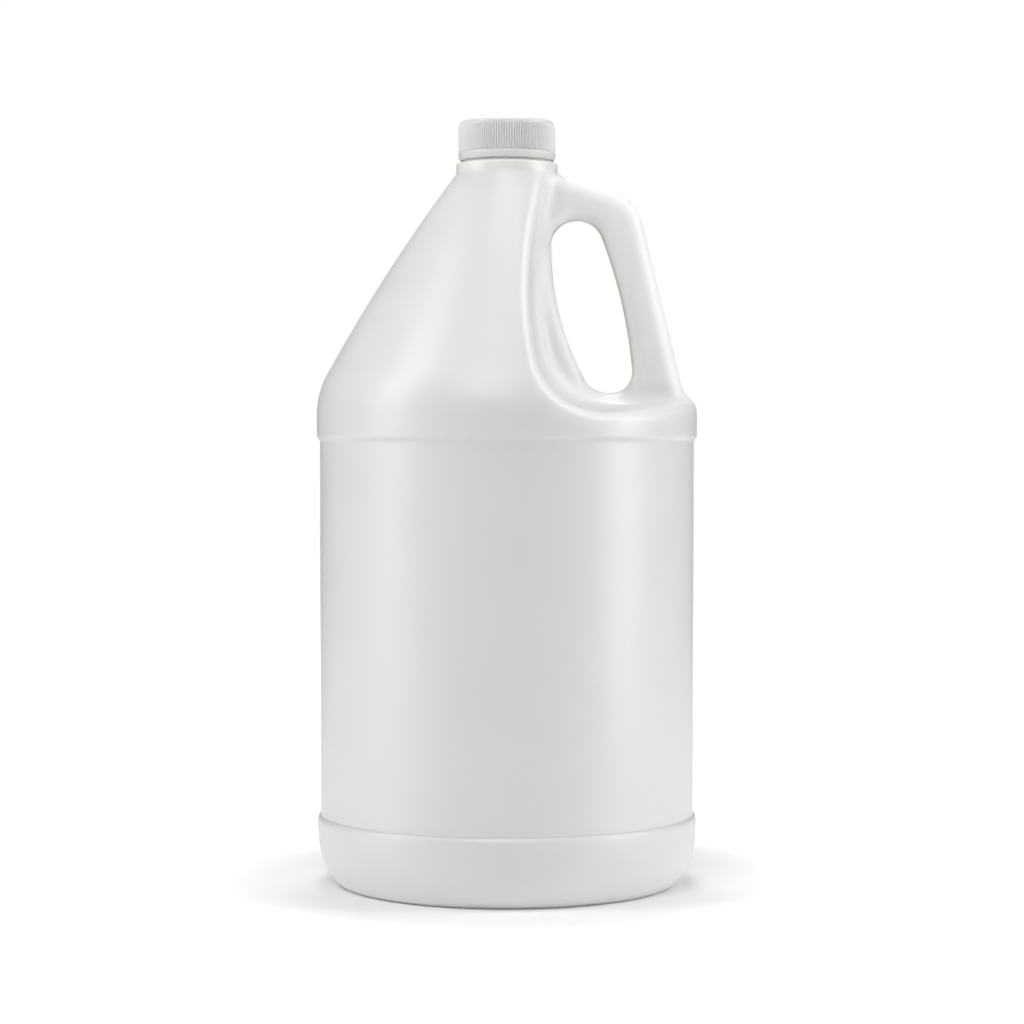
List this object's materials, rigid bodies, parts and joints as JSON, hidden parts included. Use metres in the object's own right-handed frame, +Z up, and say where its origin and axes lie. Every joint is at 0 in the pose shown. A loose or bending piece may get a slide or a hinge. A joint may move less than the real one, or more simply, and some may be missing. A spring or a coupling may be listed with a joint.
{
  "type": "screw-cap jug",
  "caption": "Round blow-moulded jug with a hollow loop handle in a hand pocket, a set-back side panel and a ribbed screw cap with a foam liner.",
  "frame": {"origin": "centre of the round base, on the surface that the jug stands on", "axes": "+Z up along the jug's axis, +X towards the handle"},
  "size_m": [0.154, 0.154, 0.3085],
  "materials": {
    "jug_plastic": "satin blow-moulded polyethylene, slightly translucent white",
    "cap_plastic": "satin injection-moulded polypropylene, white",
    "liner_foam": "matt foamed polyethylene, white"
  },
  "bodies": {
    "jug": {"jug": "jug_plastic"},
    "liner": {"liner": "liner_foam"},
    "cap": {"cap": "cap_plastic"}
  },
  "joints": [
    {"name": "cap_lift", "type": "slide", "parent": "jug", "child": "liner", "axis": [0, 0, 1], "range_m": [0, 0.0212]},
    {"name": "cap_turn", "type": "hinge", "parent": "liner", "child": "cap", "pos_m": [0, 0, 0.3], "axis": [0, 0, 1], "range_deg": [0, 1800]}
  ],
  "couplings": [
    {"joint": "cap_lift", "follows": "cap_turn", "m_per_rad": 0.00067323}
  ]
}
